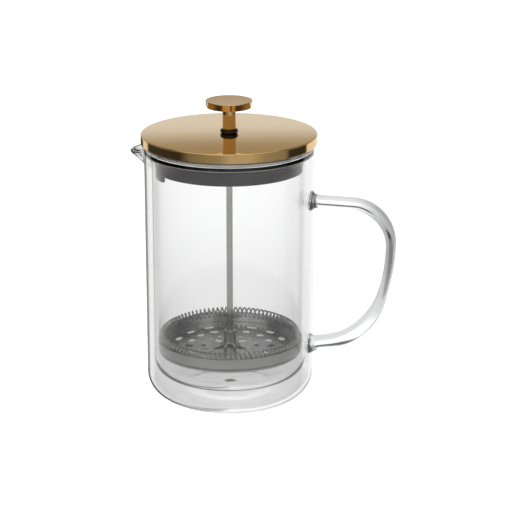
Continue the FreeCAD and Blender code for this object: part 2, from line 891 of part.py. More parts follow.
def make_stud():
    """Threaded stud riveted through the cross plate, which screws on the rod's end."""
    body = new_body("threaded_stud")
    flange = stud_radius + size("stud_flange_lip")
    flange_bottom = cross_bottom - size("stud_flange_height")
    revolve(body, "stud_turn", [
        (bush_bore, stud_bottom),
        (stud_radius, stud_bottom),
        (stud_radius, flange_bottom),
        (flange, flange_bottom),
        (flange, cross_bottom),
        (stud_radius, cross_bottom),
        (stud_radius, cross_top),
        (bush_bore, cross_top),
    ])


def check_and_export():
    """Stop on any failed object or bad solid, then write one STEP file per sub-part."""
    doc.recompute()
    for obj in doc.Objects:
        if "Invalid" in obj.State or "Error" in obj.State:
            raise RuntimeError(f"{obj.Name} failed to compute: {obj.State}")
    for obj in nodes:
        if obj.Shape.isNull() or not obj.Shape.isValid():
            raise RuntimeError(f"{obj.Label} has no valid shape")
    os.makedirs("parts", exist_ok=True)
    for obj in nodes:
        obj.Shape.exportStep(os.path.join("parts", f"{obj.Label}.step"))
        solids = len(obj.Shape.Solids)
        print(f"{obj.Label}: {solids} solid, {obj.Shape.Volume / 1000.0:.2f} cm3")


make_jacket()
make_vent_plug()
make_beaker()
make_handle()
make_lid_cap()
make_lid_insert()
make_bush()
make_bush_nut()
make_knob()
make_rod()
make_hub()
make_spiral_plate()
make_edge_spring()
make_mesh()
make_cross_plate()
make_stud()
check_and_export()
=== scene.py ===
import math

import bmesh
import bpy
from mathutils import Matrix, Vector


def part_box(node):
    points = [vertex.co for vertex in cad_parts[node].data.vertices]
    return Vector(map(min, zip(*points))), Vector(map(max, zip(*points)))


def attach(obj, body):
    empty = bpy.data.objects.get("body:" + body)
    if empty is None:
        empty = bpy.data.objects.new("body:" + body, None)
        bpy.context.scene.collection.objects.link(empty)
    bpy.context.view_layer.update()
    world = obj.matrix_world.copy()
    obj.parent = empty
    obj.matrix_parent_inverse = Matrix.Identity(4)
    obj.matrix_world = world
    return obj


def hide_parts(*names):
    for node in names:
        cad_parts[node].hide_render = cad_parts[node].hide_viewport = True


# A double-walled glass french press in a white studio.
# Pieces are drawn in millimetres and scaled once, so their sizes are in millimetres.
# Finishes, the camera and the floor are set in metres.

MM = 0.001
ROUND_STEPS = 10
TURN_STEPS = 192
GLASS_STEPS = 200
CAMERA_TURN = math.radians(15.0)

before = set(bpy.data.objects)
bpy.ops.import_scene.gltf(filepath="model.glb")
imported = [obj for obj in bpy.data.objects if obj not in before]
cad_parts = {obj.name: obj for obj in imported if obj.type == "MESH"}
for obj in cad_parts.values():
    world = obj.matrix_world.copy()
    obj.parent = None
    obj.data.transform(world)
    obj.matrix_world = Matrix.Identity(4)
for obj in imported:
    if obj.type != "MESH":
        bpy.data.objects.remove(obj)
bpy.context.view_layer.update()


# ---------------------------------------------------------------- shader wiring


class Wire:
    """A shader socket; arithmetic on it adds Math nodes."""

    def __init__(self, board, socket):
        self.board = board
        self.socket = socket

    def math(self, operation, *values):
        return self.board.add("ShaderNodeMath", {"operation": operation}, values)

    def __add__(self, other):
        return self.math("ADD", self, other)

    def __radd__(self, other):
        return self.math("ADD", other, self)

    def __rsub__(self, other):
        return self.math("SUBTRACT", other, self)

    def __mul__(self, other):
        return self.math("MULTIPLY", self, other)

    def __rmul__(self, other):
        return self.math("MULTIPLY", other, self)

    def __truediv__(self, other):
        return self.math("DIVIDE", self, other)

    def between(self, low, high):
        """Ease from 0 at low to 1 at high."""
        settings = {"interpolation_type": "SMOOTHSTEP"}
        return self.board.add("ShaderNodeMapRange", settings, {0: self, 1: low, 2: high})


class Board:
    """The node tree of a material or of the world."""

    def __init__(self, owner):
        owner.use_nodes = True
        self.tree = owner.node_tree
        self.tree.nodes.clear()

    def add(self, kind, settings=None, values=(), output=0):
        """Add a node: first its settings, then the values or wires of its sockets."""
        node = self.tree.nodes.new(kind)
        for name, value in (settings or {}).items():
            if name == "stops":
                self.set_stops(node.color_ramp, value)
            else:
                setattr(node, name, value)
        pairs = values.items() if isinstance(values, dict) else enumerate(values)
        for key, value in pairs:
            if isinstance(value, Wire):
                self.tree.links.new(value.socket, node.inputs[key])
            else:
                node.inputs[key].default_value = value
        return Wire(self, node.outputs[output]) if len(node.outputs) else node

    @staticmethod
    def set_stops(ramp, stops):
        """Set a colour ramp's stops from (place, colour) pairs."""
        while len(ramp.elements) < len(stops):
            ramp.elements.new(1.0)
        for element, (place, colour) in zip(ramp.elements, stops):
            element.position = place
            element.color = (*colour, 1.0)

    def mix(self, factor, first, second):
        """Mix two colours."""
        first = (*first, 1.0) if isinstance(first, tuple) else first
        second = (*second, 1.0) if isinstance(second, tuple) else second
        values = {0: factor, 6: first, 7: second}
        return self.add("ShaderNodeMix", {"data_type": "RGBA"}, values, output=2)

    def place(self):
        """Object coordinates and their three parts."""
        point = self.add("ShaderNodeTexCoord", output=3)
        return point, [self.add("ShaderNodeSeparateXYZ", values=[point], output=i) for i in range(3)]

    def noise(self, vector, scale, detail=2.0, rough=0.5):
        values = {"Vector": vector, "Scale": scale, "Detail": detail, "Roughness": rough}
        return self.add("ShaderNodeTexNoise", values=values)

    def stretch(self, vector, scale):
        return self.add("ShaderNodeMapping", values={"Vector": vector, "Scale": scale})

    def bump(self, height, distance, strength=1.0):
        values = {"Strength": strength, "Distance": distance, "Height": height}
        return self.add("ShaderNodeBump", values=values)

    def surface(self, **sockets):
        """Principled surface wired to the output; underscores stand for spaces."""
        values = {name.replace("_", " "): value for name, value in sockets.items()}
        shader = self.add("ShaderNodeBsdfPrincipled", values=values)
        self.add("ShaderNodeOutputMaterial", values={"Surface": shader})


def new_material(name):
    material = bpy.data.materials.new(name)
    return material, Board(material)


def clear_glass():
    """Blown borosilicate glass: almost colourless, with slow waves from the blowing, and painted
    shade that darkens it towards the bottom.
    """
    material, board = new_material("clear_glass")
    point, (_, _, z) = board.place()
    waves = board.noise(board.stretch(point, (14.0, 14.0, 5.0)), 1.0, 1.0)
    streaks = board.noise(board.stretch(point, (60.0, 60.0, 12.0)), 1.0, 2.0)
    height = waves * 0.8 + streaks * 0.2
    clear = board.mix(streaks, (0.997, 0.997, 0.997), (0.993, 0.994, 0.994))
    # Painted shade: the glass is tinted a little darker towards the bottom, by height.
    painted_shade_tint = board.mix(z.between(0.0, 0.15), (0.972, 0.972, 0.972), clear)
    board.surface(Base_Color=painted_shade_tint, Roughness=0.0, IOR=1.47, Transmission_Weight=1.0,
                  Normal=board.bump(height, 0.00012, 0.25))
    return material


def handle_glass():
    """Drawn glass strap, a little darker than the blown walls; its upper bend is darkened further
    with painted shade.
    """
    material, board = new_material("handle_glass")
    point, (x, _, z) = board.place()
    draw = board.noise(board.stretch(point, (18.0, 90.0, 18.0)), 1.0, 1.0)
    clear = board.mix(draw, (0.925, 0.932, 0.932), (0.905, 0.912, 0.912))
    # Painted shade: the upper bend of the strap, picked out by its reach and height, is tinted dark
    # grey.
    thick = x.between(0.074, 0.103) * z.between(0.055, 0.100)
    painted_shade_tint = board.mix(thick, clear, (0.40, 0.40, 0.405))
    board.surface(Base_Color=painted_shade_tint, Roughness=0.0, IOR=1.47, Transmission_Weight=1.0,
                  Normal=board.bump(draw, 0.0002, 0.3))
    return material


def turned_rings(board, pitch):
    """Fine rings about the Z axis, as a lathe or a buffing wheel leaves."""
    point, (x, y, _) = board.place()
    square = x * x + y * y
    radius = square.math("SQRT", square)
    blank = board.add("ShaderNodeCombineXYZ", values=[radius, 0.0, 0.0])
    rings = board.noise(blank, 1.0 / pitch, 3.0, 0.6)
    marks = board.noise(point, 220.0, 2.0)
    return rings, marks


def polished_gold(name, roughness, pitch=0.00035):
    """Gold-coloured coating on polished steel, with faint buffing rings."""
    material, board = new_material(name)
    rings, marks = turned_rings(board, pitch)
    colour = board.mix(marks, (0.80, 0.52, 0.215), (0.84, 0.56, 0.245))
    shine = roughness * (0.8 + rings * 0.4)
    board.surface(Base_Color=colour, Metallic=1.0, Roughness=shine)
    return material


def steel(name, colour, roughness, pitch=0.0005):
    """Stainless steel with fine turning or rolling marks."""
    material, board = new_material(name)
    rings, marks = turned_rings(board, pitch)
    dull = tuple(part * 0.86 for part in colour)
    tone = board.mix(marks, dull, colour)
    shine = roughness * (0.75 + rings * 0.5)
    board.surface(Base_Color=tone, Metallic=1.0, Roughness=shine,
                  Normal=board.bump(rings, 0.000006, 0.3))
    return material


def moulded_black():
    """Moulded plastic with a very fine spark-eroded grain."""
    material, board = new_material("black_plastic")
    point, _ = board.place()
    grain = board.noise(point, 2600.0, 3.0)
    cloud = board.noise(point, 40.0, 2.0)
    colour = board.mix(cloud, (0.016, 0.013, 0.015), (0.023, 0.019, 0.021))
    board.surface(Base_Color=colour, Roughness=0.36 + grain * 0.1, Specular_IOR_Level=0.2,
                  Normal=board.bump(grain, 0.000003, 0.2))
    return material


def gloss_black():
    """Glossy black bead with the faintest orange peel."""
    material, board = new_material("black_gloss_plastic")
    point, _ = board.place()
    peel = board.noise(point, 420.0, 2.0)
    colour = board.mix(peel, (0.007, 0.006, 0.009), (0.012, 0.010, 0.013))
    board.surface(Base_Color=colour, Roughness=0.05 + peel * 0.04,
                  Normal=board.bump(peel, 0.00001, 0.2))
    return material


def soft_silicone(name, low, high):
    """Soft silicone, slightly cloudy."""
    material, board = new_material(name)
    point, _ = board.place()
    cloud = board.noise(point, 300.0, 3.0)
    colour = board.mix(cloud, low, high)
    board.surface(Base_Color=colour, Roughness=0.3 + cloud * 0.15, IOR=1.41)
    return material


def woven_steel(pitch=0.00034):
    """Fine wire cloth: crossed round wires with small square gaps."""
    material, board = new_material("steel_mesh")
    _, (x, y, z) = board.place()
    cup_radius = 0.045
    square = x * x + y * y
    turn = math.tau / pitch
    along = y.math("ARCTAN2", y, x) * cup_radius * turn
    upright = (z + square.math("SQRT", square)) * turn
    warp = along.math("SINE", along)
    weft = upright.math("SINE", upright)
    over = warp * weft
    wires = warp.math("MAXIMUM", warp, weft)
    cover = wires.between(-0.75, -0.55)
    upright_part = z.between(0.0305, 0.0320)
    tone = board.mix(over * 0.5 + 0.5, (0.52, 0.52, 0.52), (0.72, 0.72, 0.71))
    board.surface(Base_Color=tone, Metallic=1.0, Roughness=0.38 + over * 0.05,
                  Alpha=0.20 + cover * 0.12 + upright_part * 0.62,
                  Normal=board.bump(wires + over * 0.5, 0.00005, 0.5))
    return material


GLASS = clear_glass()
HANDLE_GLASS = handle_glass()
GOLD = polished_gold("gold_polished", 0.035)
GOLD_SATIN = polished_gold("gold_satin", 0.30, 0.00022)
STEEL = steel("steel_bright", (0.48, 0.475, 0.47), 0.14)
ROD_STEEL = steel("steel_rod", (0.62, 0.615, 0.61), 0.12, 0.0003)
PLATE_STEEL = steel("steel_plate", (0.56, 0.555, 0.55), 0.17, 0.0009)
SPRING_STEEL = steel("steel_spring", (0.58, 0.575, 0.565), 0.16, 0.0002)
MESH_STEEL = woven_steel()
BLACK = moulded_black()
BLACK_GLOSS = gloss_black()
SILICONE = soft_silicone("clear_silicone", (0.95, 0.96, 0.96), (0.98, 0.98, 0.98))
SEAL = soft_silicone("pale_seal", (0.76, 0.73, 0.62), (0.82, 0.79, 0.69))


# ---------------------------------------------------------------- mesh making


def corner_arc(before, corner, after, radius):
    """Points of the arc that rounds a corner, with a guard point each side for the shading."""
    back = (before - corner).normalized()
    ahead = (after - corner).normalized()
    half = back.angle(ahead) / 2.0
    reach = radius / math.tan(half)
    centre = corner + (back + ahead).normalized() * (radius / math.sin(half))
    first = corner + back * reach - centre
    last = corner + ahead * reach - centre
    swing = first.angle(last)
    steps = max(2, math.ceil(ROUND_STEPS * swing / (math.pi / 2.0)))
    guard = min(0.06 * radius, 0.1)
    points = [corner + back * (reach + guard)]
    for step in range(steps + 1):
        share = step / steps
        mixed = (first * math.sin((1.0 - share) * swing) + last * math.sin(share * swing))
        points.append(centre + mixed / math.sin(swing))
    points.append(corner + ahead * (reach + guard))
    return points


def outline(corners, closed=False):
    """Turn (radius, height, rounding) corners into the points of a profile."""
    places = [Vector((corner[0], corner[1])) for corner in corners]
    points = []
    for index, corner in enumerate(corners):
        rounding = corner[2] if len(corner) > 2 else 0.0
        at_end = index in (0, len(corners) - 1) and not closed
        if rounding <= 0.0 or at_end:
            points.append(places[index])
            continue
        before = places[index - 1]
        after = places[(index + 1) % len(places)]
        points.extend(corner_arc(before, places[index], after, rounding))
    return points


def divided(points, low, high, spacing):
    """Add points to a profile where it lies between two heights."""
    result = [points[0]]
    for start, end in zip(points, points[1:]):
        inside = max(start.y, end.y) > low and min(start.y, end.y) < high
        count = max(1, math.ceil((end - start).length / spacing)) if inside else 1
        result.extend(start.lerp(end, step / count) for step in range(1, count + 1))
    return result


def place_piece(name, mesh, materials, body, slot, *nodes, sharp=32.0):
    """Make a finished piece of a bmesh drawn in millimetres and set it in the frame."""
    bmesh.ops.scale(mesh, vec=(MM, MM, MM), verts=mesh.verts)
    data = bpy.data.meshes.new(name)
    mesh.to_mesh(data)
    mesh.free()
    piece = bpy.data.objects.new(name, data)
    bpy.context.scene.collection.objects.link(piece)
    for material in materials:
        data.materials.append(material)
    smooth(piece, sharp)
    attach(piece, body)
    if nodes:
        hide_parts(*nodes)
    return piece


def smooth(piece, sharp=32.0):
    """Shade smooth, but keep real edges crisp."""
    piece.data.shade_smooth()
    piece.data.set_sharp_from_angle(angle=math.radians(sharp))


def turned(points, closed=False, steps=TURN_STEPS, turn=math.tau):
    """Spin a profile about the Z axis."""
    mesh = bmesh.new()
    verts = [mesh.verts.new((point.x, 0.0, point.y)) for point in points]
    edges = [mesh.edges.new(pair) for pair in zip(verts, verts[1:])]
    if closed:
        edges.append(mesh.edges.new((verts[-1], verts[0])))
    full = turn == math.tau
    bmesh.ops.spin(mesh, geom=verts + edges, cent=(0, 0, 0), axis=(0, 0, 1), angle=turn,
                   steps=steps, use_merge=full, use_duplicate=False)
    bmesh.ops.remove_doubles(mesh, verts=mesh.verts, dist=1e-4)
    bmesh.ops.recalc_face_normals(mesh, faces=mesh.faces)
    return mesh


def carve(piece, cutters, operation="DIFFERENCE"):
    """Apply a boolean between a piece and a bmesh drawn in millimetres."""
    bmesh.ops.scale(cutters, vec=(MM, MM, MM), verts=cutters.verts)
    data = bpy.data.meshes.new("cutter")
    cutters.to_mesh(data)
    cutters.free()
    tool = bpy.data.objects.new("cutter", data)
    bpy.context.scene.collection.objects.link(tool)
    modifier = piece.modifiers.new("carve", "BOOLEAN")
    modifier.operation = operation
    modifier.solver = "EXACT"
    modifier.object = tool
    graph = bpy.context.evaluated_depsgraph_get()
    result = bpy.data.meshes.new_from_object(piece.evaluated_get(graph), depsgraph=graph)
    piece.modifiers.clear()
    old = piece.data
    piece.data = result
    result.name = piece.name
    bpy.data.meshes.remove(old)
    bpy.data.objects.remove(tool)
    bpy.data.meshes.remove(data)
    smooth(piece)


def turn_about_z(degrees):
    return Matrix.Rotation(math.radians(degrees), 4, "Z")


# ---------------------------------------------------------------- sizes from the frame


def millimetres(node):
    """A node's lowest and highest corners in millimetres."""
    low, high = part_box(node)
    return low / MM, high / MM


_, jacket_high = millimetres("outer_jacket")
beaker_low, beaker_high = millimetres("inner_beaker")
cap_low, cap_high = millimetres("lid_cap")
insert_low, insert_high = millimetres("lid_insert")
bush_low, bush_high = millimetres("guide_bush")
knob_low, knob_high = millimetres("knob")
rod_low, rod_high = millimetres("plunger_rod")
hub_low, hub_high = millimetres("rod_hub")
plate_low, plate_high = millimetres("spiral_plate")
coil_low, coil_high = millimetres("edge_spring")
screen_low, screen_high = millimetres("mesh_screen")

GLASS_RADIUS = jacket_high.y
RIM_TOP = beaker_high.z
FLOOR_BOTTOM = beaker_low.z
JACKET_WALL = 2.0
BASE_WALL = 2.2
PUNT_DEPTH = 1.5
PUNT_RADIUS = 24.0
FOOT_INNER = 30.0
VENT_RADIUS = 2.0
BEAKER_INSIDE = 46.0
BEAKER_OUTSIDE = 47.8
FLOOR_TOP = FLOOR_BOTTOM + 2.4
RIM_WALL = 2.6
FLARE_END = RIM_TOP - 1.9
FLARE_START = FLARE_END - 5.2
WELD_TOP = RIM_TOP - 2.9
OUTER_FLARE_START = WELD_TOP - 4.6
ROD_RADIUS = rod_high.y
HEM_WIDTH = 2.3


# ---------------------------------------------------------------- glass


def pull_spout(mesh):
    """Draw the rim out and down at -X into a small trough with an even wall."""
    reach = -beaker_low.x - GLASS_RADIUS
    drop = 8.0
    inner_reach = 1.0
    inner_rise = 1.7
    start = RIM_TOP - 17.3
    push_width, fall_width = 7.5, 10.0
    push_curve, fall_curve = 1.1, 1.3
    side = -0.5 * GLASS_RADIUS
    for vert in mesh.verts:
        x, y, z = vert.co
        if x > side or z < start:
            continue
        radius = math.hypot(x, y)
        turn = math.atan2(y, -x)
        across = radius * turn
        share = (z - start) / (RIM_TOP - start)
        belly = math.sin(share * math.pi / 2.0) ** push_curve
        depth = min(1.0, max(0.0, (GLASS_RADIUS - radius) / RIM_WALL))
        push = (reach + inner_reach * depth) * belly * math.exp(-(across / push_width) ** 2)
        droop = share ** fall_curve * math.exp(-(across / fall_width) ** 2)
        fall = (drop - inner_rise * depth) * droop
        vert.co = (-(radius + push) * math.cos(turn), (radius + push) * math.sin(turn), z - fall)


def glass_vessel():
    """Inner and outer walls as the one piece of glass that they are once welded."""
    jacket_inside = GLASS_RADIUS - JACKET_WALL
    rim_inside = GLASS_RADIUS - RIM_WALL
    punt_top = PUNT_DEPTH + BASE_WALL
    profile = outline([
        (0.0, FLOOR_TOP),
        (BEAKER_INSIDE, FLOOR_TOP, 8.0),
        (BEAKER_INSIDE, FLARE_START, 5.0),
        (rim_inside, FLARE_END, 0.8),
        (rim_inside, RIM_TOP, 0.9),
        (GLASS_RADIUS, RIM_TOP, 0.9),
        (GLASS_RADIUS, 0.0, 14.8),
        (FOOT_INNER, 0.0, 22.0),
        (PUNT_RADIUS, PUNT_DEPTH, 22.0),
        (VENT_RADIUS, PUNT_DEPTH),
        (VENT_RADIUS, punt_top),
        (PUNT_RADIUS, punt_top, 22.0),
        (FOOT_INNER, BASE_WALL, 22.0),
        (jacket_inside, BASE_WALL, 12.8),
        (jacket_inside, WELD_TOP, 0.7),
        (BEAKER_OUTSIDE, OUTER_FLARE_START, 6.0),
        (BEAKER_OUTSIDE, FLOOR_BOTTOM, 9.8),
        (0.0, FLOOR_BOTTOM),
    ])
    spout_zone, spacing = 18.0, 1.3
    profile = divided(profile, RIM_TOP - spout_zone, RIM_TOP, spacing)
    mesh = turned(profile, steps=GLASS_STEPS)
    pull_spout(mesh)
    place_piece("glass_vessel", mesh, [GLASS], "beaker", "clear_glass",
                "outer_jacket", "inner_beaker", sharp=50.0)


def handle_route(spacing=1.6):
    """Walk the handle's centre line: (length, place, heading) at even steps."""
    start_height = 129.4
    bend = 24.0
    grip_bend, grip_turn = 115.0, math.radians(19.0)
    heel_bend, heel_turn = 45.2, math.radians(59.5)
    reach = 102.4
    last_run = 10.3
    moves = [
        (reach - bend - GLASS_RADIUS, 0.0),
        (bend * math.pi / 2.0, math.pi / 2.0),
        (grip_bend * grip_turn, grip_turn),
        (heel_bend * heel_turn, heel_turn),
        (last_run, 0.0),
    ]
    place = Vector((GLASS_RADIUS, 0.0, start_height))
    heading = 0.0
    walked = 0.0
    route = [(walked, place.copy(), heading)]
    for length, turn in moves:
        count = math.ceil(length / spacing)
        for _ in range(count):
            heading += turn / count / 2.0
            place = place + Vector((math.cos(heading), 0.0, -math.sin(heading))) * (length / count)
            heading += turn / count / 2.0
            walked += length / count
            route.append((walked, place.copy(), heading))
    return route


def strap_size(walked, total):
    """Thickness and width of the handle at a length along it."""
    marks = [
        (0.0, 12.4, 14.6), (1.2, 9.6, 12.4), (4.0, 8.0, 11.0), (0.2 * total, 8.0, 11.0),
        (0.45 * total, 5.8, 12.0), (0.55 * total, 5.8, 12.0), (0.78 * total, 9.2, 14.0),
        (total - 4.0, 9.4, 13.4), (total - 1.2, 10.2, 13.8), (total, 12.4, 14.6),
    ]
    for (start, thick, width), (end, next_thick, next_width) in zip(marks, marks[1:]):
        if walked <= end + 1e-6:
            share = (walked - start) / (end - start)
            share = share * share * (3.0 - 2.0 * share)
            return thick + (next_thick - thick) * share, width + (next_width - width) * share
    return marks[-1][1:]


def glass_handle():
    """Oval strap drawn along its route, its feet spread on the jacket."""
    route = handle_route()
    total = route[-1][0]
    mesh = bmesh.new()
    ring = bmesh.ops.create_circle(mesh, segments=48, radius=1.0, cap_ends=False)["verts"]
    shape = [vert.co.copy() for vert in ring]
    edges = list(mesh.edges)
    first_edges = edges
    clearance = 0.04
    for index, (walked, place, heading) in enumerate(route):
        if index:
            made = bmesh.ops.extrude_edge_only(mesh, edges=edges)["geom"]
            edges = [item for item in made if isinstance(item, bmesh.types.BMEdge)
                     and all(len(vert.link_faces) < 4 for vert in item.verts)
                     and len(item.link_faces) == 1]
            above = {edge_vert for edge in edges for edge_vert in edge.verts}
            ring = [vert for vert in made if isinstance(vert, bmesh.types.BMVert)
                    and vert in above]
        thick, width = strap_size(walked, total)
        forward = Vector((math.cos(heading), 0.0, -math.sin(heading)))
        upward = Vector((math.sin(heading), 0.0, math.cos(heading)))
        for vert, unit in zip(ring, shape):
            offset = Vector((0.0, unit.x * width / 2.0, 0.0)) + upward * (unit.y * thick / 2.0)
            vert.co = place + offset
            if index in (0, len(route) - 1):
                wall = math.sqrt((GLASS_RADIUS + clearance) ** 2 - vert.co.y ** 2)
                vert.co += forward * ((wall - vert.co.x) / forward.x)
    bmesh.ops.holes_fill(mesh, edges=first_edges, sides=0)
    bmesh.ops.holes_fill(mesh, edges=edges, sides=0)
    bmesh.ops.recalc_face_normals(mesh, faces=mesh.faces)
    place_piece("drawn_handle", mesh, [HANDLE_GLASS], "beaker", "clear_glass", "glass_handle",
                sharp=55.0)


# ---------------------------------------------------------------- lid


def lid_cap():
    """Polished cap with a small rolled edge."""
    sheet = 1.2
    bore = 4.25
    radius = cap_high.y
    hem = radius - sheet - HEM_WIDTH
    hem_top = cap_low.z + 0.8
    profile = outline([
        (bore, cap_high.z - sheet),
        (radius - sheet, cap_high.z - sheet, 0.5),
        (radius - sheet, hem_top, 0.3),
        (hem, hem_top, 0.3),
        (hem, cap_low.z, 0.3),
        (radius, cap_low.z, 0.5),
        (radius, cap_high.z, 0.75),
        (bore, cap_high.z, 0.15),
    ], closed=True)
    mesh = turned(profile, closed=True, steps=GLASS_STEPS)
    place_piece("lid_cap_polished", mesh, [GOLD], "lid", "gold_steel", "lid_cap")


def lid_insert():
    """Moulded insert: pale seal face above, strainer slots at the spout."""
    radius = 53.1
    bore = 4.25
    wall = 2.0
    skirt = BEAKER_INSIDE - 0.5
    seat = RIM_TOP + 0.3
    seat_outside = radius - HEM_WIDTH
    seat_width = 2.5
    seat_top = cap_low.z + 0.9
    plate = insert_high.z - wall
    skirt_bottom = seat - 15.25
    seal_bottom = RIM_TOP - 4.6
    boss = 8.0
    boss_bottom = insert_high.z - 7.8
    profile = outline([
        (bore, insert_high.z),
        (radius, insert_high.z, 0.2),
        (radius, seat_top),
        (seat_outside, seat_top),
        (seat_outside, seat, 0.3),
        (seat_outside - seat_width, seat, 0.3),
        (seat_outside - seat_width, plate, 0.4),
        (skirt, plate, 0.8),
        (skirt, seal_bottom),
        (skirt, skirt_bottom, 0.6),
        (skirt - wall, skirt_bottom, 0.6),
        (skirt - wall, plate, 0.8),
        (boss, plate, 0.8),
        (boss, boss_bottom, 0.4),
        (bore, boss_bottom),
    ], closed=True)
    mesh = turned(profile, closed=True, steps=TURN_STEPS)
    for face in mesh.faces:
        centre = face.calc_center_median()
        outside = math.hypot(centre.x, centre.y) > skirt - 0.5
        if outside and seal_bottom < centre.z < plate + 0.5:
            face.material_index = 1
    piece = place_piece("moulded_insert", mesh, [BLACK, SEAL], "lid", "black_plastic",
                        "lid_insert")
    quarter = math.pi / 2.0
    inset, overlap = 0.01, 2.0
    strip = outline([
        (skirt - inset, insert_low.z, 0.6),
        (skirt - wall + inset, insert_low.z, 0.6),
        (skirt - wall + inset, skirt_bottom + overlap),
        (skirt - inset, skirt_bottom + overlap),
    ], closed=True)
    comb_start = 135.0
    comb = turned(strip, closed=True, steps=48, turn=quarter)
    bmesh.ops.holes_fill(comb, edges=comb.edges, sides=0)
    bmesh.ops.recalc_face_normals(comb, faces=comb.faces)
    bmesh.ops.transform(comb, matrix=turn_about_z(comb_start), verts=comb.verts)
    carve(piece, comb, "UNION")
    slots = bmesh.new()
    slot_count, slot_sweep = 12, 66.0
    slot_width, slot_height = 1.8, 12.6
    for index in range(slot_count):
        angle = 180.0 - slot_sweep / 2.0 + slot_sweep * index / (slot_count - 1)
        middle = Vector((skirt - wall / 2.0, 0.0, insert_low.z + wall + slot_height / 2.0))
        size = Matrix.Diagonal((wall + 2.0, slot_width, slot_height, 1.0))
        place = turn_about_z(angle) @ Matrix.Translation(middle) @ size
        bmesh.ops.create_cube(slots, size=1.0, matrix=place)
    carve(piece, slots)


def guide_bush():
    """Glossy bead and the stem that runs down through the lid."""
    bore = ROD_RADIUS + 0.05
    stem = 4.2
    bead = 5.6
    bead_bottom = cap_high.z + 0.1
    bead_rounding = 1.25
    profile = outline([
        (bore, bush_low.z),
        (stem, bush_low.z, 0.3),
        (stem, bead_bottom),
        (bead, bead_bottom, bead_rounding),
        (bead, bush_high.z, bead_rounding),
        (bore, bush_high.z, 0.3),
    ], closed=True)
    mesh = turned(profile, closed=True, steps=96)
    place_piece("bush_bead", mesh, [BLACK_GLOSS], "guide", "black_gloss_plastic", "guide_bush")


# ---------------------------------------------------------------- plunger


def knob():
    """Knob with a satin top face and polished sides and neck."""
    disc = 14.6
    taper = 0.9
    neck = 4.15
    bottom = knob_high.z - 4.3
    top_ring = disc - 0.55
    profile = outline([
        (ROD_RADIUS, knob_low.z),
        (neck, knob_low.z, 0.15),
        (neck, bottom, 0.35),
        (disc - taper, bottom, 0.3),
        (disc, knob_high.z, 0.4),
        (top_ring, knob_high.z - 0.02),
        (0.0, knob_high.z - 0.02),
        (0.0, rod_high.z + 0.05),
        (ROD_RADIUS, rod_high.z + 0.05),
    ], closed=True)
    mesh = turned(profile, closed=True, steps=TURN_STEPS)
    top = knob_high.z - 0.05
    for face in mesh.faces:
        centre = face.calc_center_median()
        if centre.z > top and math.hypot(centre.x, centre.y) < top_ring:
            face.material_index = 1
    place_piece("turned_knob", mesh, [GOLD, GOLD_SATIN], "plunger", "gold_steel", "knob")


def plunger_rod():
    """Steel rod with small chamfers at its ends."""
    profile = outline([
        (0.0, rod_low.z),
        (ROD_RADIUS, rod_low.z, 0.3),
        (ROD_RADIUS, rod_high.z, 0.3),
        (0.0, rod_high.z),
    ])
    mesh = turned(profile, steps=64)
    place_piece("ground_rod", mesh, [ROD_STEEL], "plunger", "stainless_steel", "plunger_rod")


def rod_hub():
    """Collar above the discs, on a small flared foot."""
    radius = hub_high.y
    foot, foot_height = radius + 2.9, 1.8
    profile = outline([
        (ROD_RADIUS, hub_low.z),
        (foot, hub_low.z, 0.1),
        (radius, hub_low.z + foot_height, 0.5),
        (radius, hub_high.z, 0.5),
        (ROD_RADIUS, hub_high.z, 0.2),
    ], closed=True)
    mesh = turned(profile, closed=True, steps=64)
    place_piece("hub_collar", mesh, [STEEL], "plunger", "stainless_steel", "rod_hub")


def round_hole(cutters, radius, matrix, depth, stretch=1.0, sides=20):
    """Add one prism to the cutters: round, or drawn out along Y."""
    made = bmesh.ops.create_cone(cutters, cap_ends=True, segments=sides, radius1=radius,
                                 radius2=radius, depth=depth)["verts"]
    if stretch:
        for vert in made:
            vert.co.y += math.copysign(stretch, vert.co.y) if abs(vert.co.y) > 1e-4 else 0.0
    bmesh.ops.transform(cutters, matrix=matrix, verts=made)


def spiral_plate():
    """Dished plate with its rings of holes, petals and the row of wall holes."""
    sheet = 0.6
    radius = 44.95
    inside = radius - sheet
    lip = radius - 3.2
    bore = ROD_RADIUS + 0.3
    floor = plate_low.z
    profile = outline([
        (bore, floor),
        (radius, floor, 0.9),
        (radius, plate_high.z, 0.5),
        (lip, plate_high.z, 0.25),
        (lip, plate_high.z - sheet),
        (inside, plate_high.z - sheet, 0.3),
        (inside, floor + sheet, 0.5),
        (bore, floor + sheet),
    ], closed=True)
    mesh = turned(profile, closed=True, steps=180)
    piece = place_piece("pressed_plate", mesh, [PLATE_STEEL], "discs", "stainless_steel",
                        "spiral_plate")
    cutters = bmesh.new()
    deep = 6.0
    ring_holes = 15
    phase = 9.0
    rings = [(17.0, 1.7, 0.0), (26.0, 2.3, 0.7), (35.0, 2.0, 1.6)]
    for index in range(ring_holes):
        turn = turn_about_z(phase + 360.0 / ring_holes * index)
        for distance, hole, drawn in rings:
            place = turn @ Matrix.Translation((distance, 0.0, floor))
            round_hole(cutters, hole, place, deep, drawn)
    petals, petal_phase = 4, 60.0
    petal_inner, petal_outer, petal_radius = 7.4, 12.2, 2.1
    for index in range(petals):
        turn = turn_about_z(petal_phase + 360.0 / petals * index)
        centre = (petal_inner + petal_outer) / 2.0
        place = turn @ Matrix.Translation((centre, 0.0, floor)) @ turn_about_z(90.0)
        round_hole(cutters, petal_radius, place, deep, (petal_outer - petal_inner) / 2.0)
    wall_holes = 90
    wall_hole, wall_hole_height, wall_hole_depth = 0.75, floor + 4.3, 3.0
    sideways = Matrix.Rotation(math.pi / 2.0, 4, "Y")
    for index in range(wall_holes):
        turn = turn_about_z(360.0 / wall_holes * index)
        place = turn @ Matrix.Translation((radius, 0.0, wall_hole_height)) @ sideways
        round_hole(cutters, wall_hole, place, wall_hole_depth, 0.0, sides=14)
    carve(piece, cutters)


